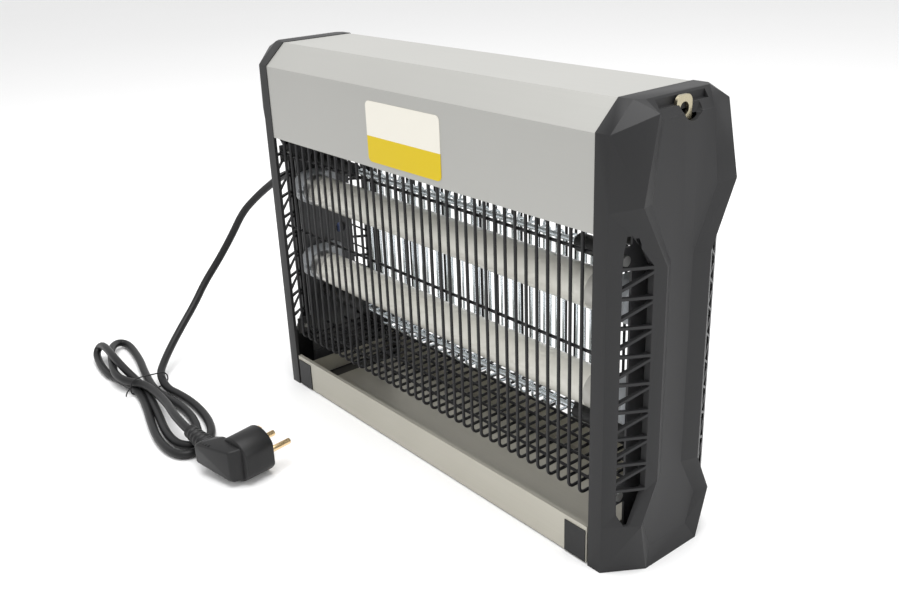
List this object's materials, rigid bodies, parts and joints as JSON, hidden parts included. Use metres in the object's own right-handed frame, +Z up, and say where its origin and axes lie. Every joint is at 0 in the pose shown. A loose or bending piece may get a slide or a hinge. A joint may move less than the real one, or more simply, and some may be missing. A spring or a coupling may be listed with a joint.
{
  "type": "electric bug zapper",
  "caption": "Electric bug zapper: grey steel hood, charcoal end caps, black wire guard round a high-voltage wire grid and ultraviolet tubes, slide-out tray and a tied mains lead.",
  "frame": {"origin": "on the floor under the middle of the case", "axes": "+X along the lamps to the end away from the mains lead, -Y out of the front, +Z up"},
  "size_m": [0.5683, 0.2423, 0.2949],
  "materials": {
    "cap_plastic": "fine moulded texture, charcoal",
    "hood_paint": "satin warm grey paint",
    "label_print": "two plain colour fields",
    "zinc_steel": "zinc plated",
    "tab_steel": "yellowish nickel plate",
    "bracket_paint": "dark grey paint",
    "guard_coating": "black dipped coating",
    "grid_steel": "bright drawn wire",
    "post_plastic": "black insulator",
    "lamp_glass": "phosphor-coated glass",
    "lamp_cap": "drawn aluminium cup",
    "brass": "bare brass",
    "holder_plastic": "pale grey moulding",
    "tray_aluminium": "rolled sheet",
    "clip_plastic": "black moulding",
    "core_steel": "varnished laminations",
    "ballast_paint": "plain enamel",
    "coil_tape": "yellow winding tape",
    "board": "green laminate",
    "film": "dipped film",
    "block_plastic": "natural nylon",
    "lead_insulation": "wire insulation",
    "cord_sheath": "black flexible sheath"
  },
  "bodies": {
    "case": {"hood": "hood_paint", "front_label": "label_print", "chassis_plate": "zinc_steel", "end_cap_right": "cap_plastic", "end_cap_left": "cap_plastic", "inner_bracket_right": "bracket_paint", "inner_bracket_left": "bracket_paint", "hanging_tab_right": "tab_steel", "hanging_tab_left": "tab_steel", "tab_rivets": "zinc_steel", "cap_screws": "zinc_steel", "guard_front": "guard_coating", "guard_rear": "guard_coating", "guard_bottom": "guard_coating", "grid_live": "grid_steel", "grid_return": "grid_steel", "grid_posts": "post_plastic", "tray_runner_right": "bracket_paint", "tray_runner_left": "bracket_paint", "ballast": "ballast_paint", "transformer_core": "core_steel", "transformer_coil": "coil_tape", "rectifier_board": "board", "capacitors": "film", "terminal_block": "block_plastic", "starters": "lamp_cap", "cable_clamp": "block_plastic", "mains_cores": "lead_insulation", "lamp_leads": "lead_insulation", "strain_relief": "cord_sheath", "cord_tube": "cord_sheath", "cord_hank": "cord_sheath", "cord_tail": "cord_sheath", "hank_tie": "cord_sheath", "plug_body": "cord_sheath", "plug_pins": "brass", "plug_earth_contacts": "brass", "upper_holder_right": "holder_plastic", "upper_holder_left": "holder_plastic", "lower_holder_right": "holder_plastic", "lower_holder_left": "holder_plastic"},
    "tray": {"tray_pan": "tray_aluminium", "tray_clips_front": "clip_plastic", "tray_clips_rear": "clip_plastic"},
    "upper_lamp": {"upper_tube_glass": "lamp_glass", "upper_tube_caps": "lamp_cap", "upper_tube_pins": "brass", "upper_rotors": "holder_plastic"},
    "lower_lamp": {"lower_tube_glass": "lamp_glass", "lower_tube_caps": "lamp_cap", "lower_tube_pins": "brass", "lower_rotors": "holder_plastic"}
  },
  "joints": [
    {"name": "tray_slide", "type": "slide", "parent": "case", "child": "tray", "axis": [0, -1, 0], "range_m": [0, 0.07]},
    {"name": "upper_lamp_twist", "type": "hinge", "parent": "case", "child": "upper_lamp", "pos_m": [0, -0.018, 0.1736], "axis": [1, 0, 0], "range_deg": [0, 90]},
    {"name": "lower_lamp_twist", "type": "hinge", "parent": "case", "child": "lower_lamp", "pos_m": [0, -0.018, 0.1064], "axis": [1, 0, 0], "range_deg": [0, 90]}
  ]
}
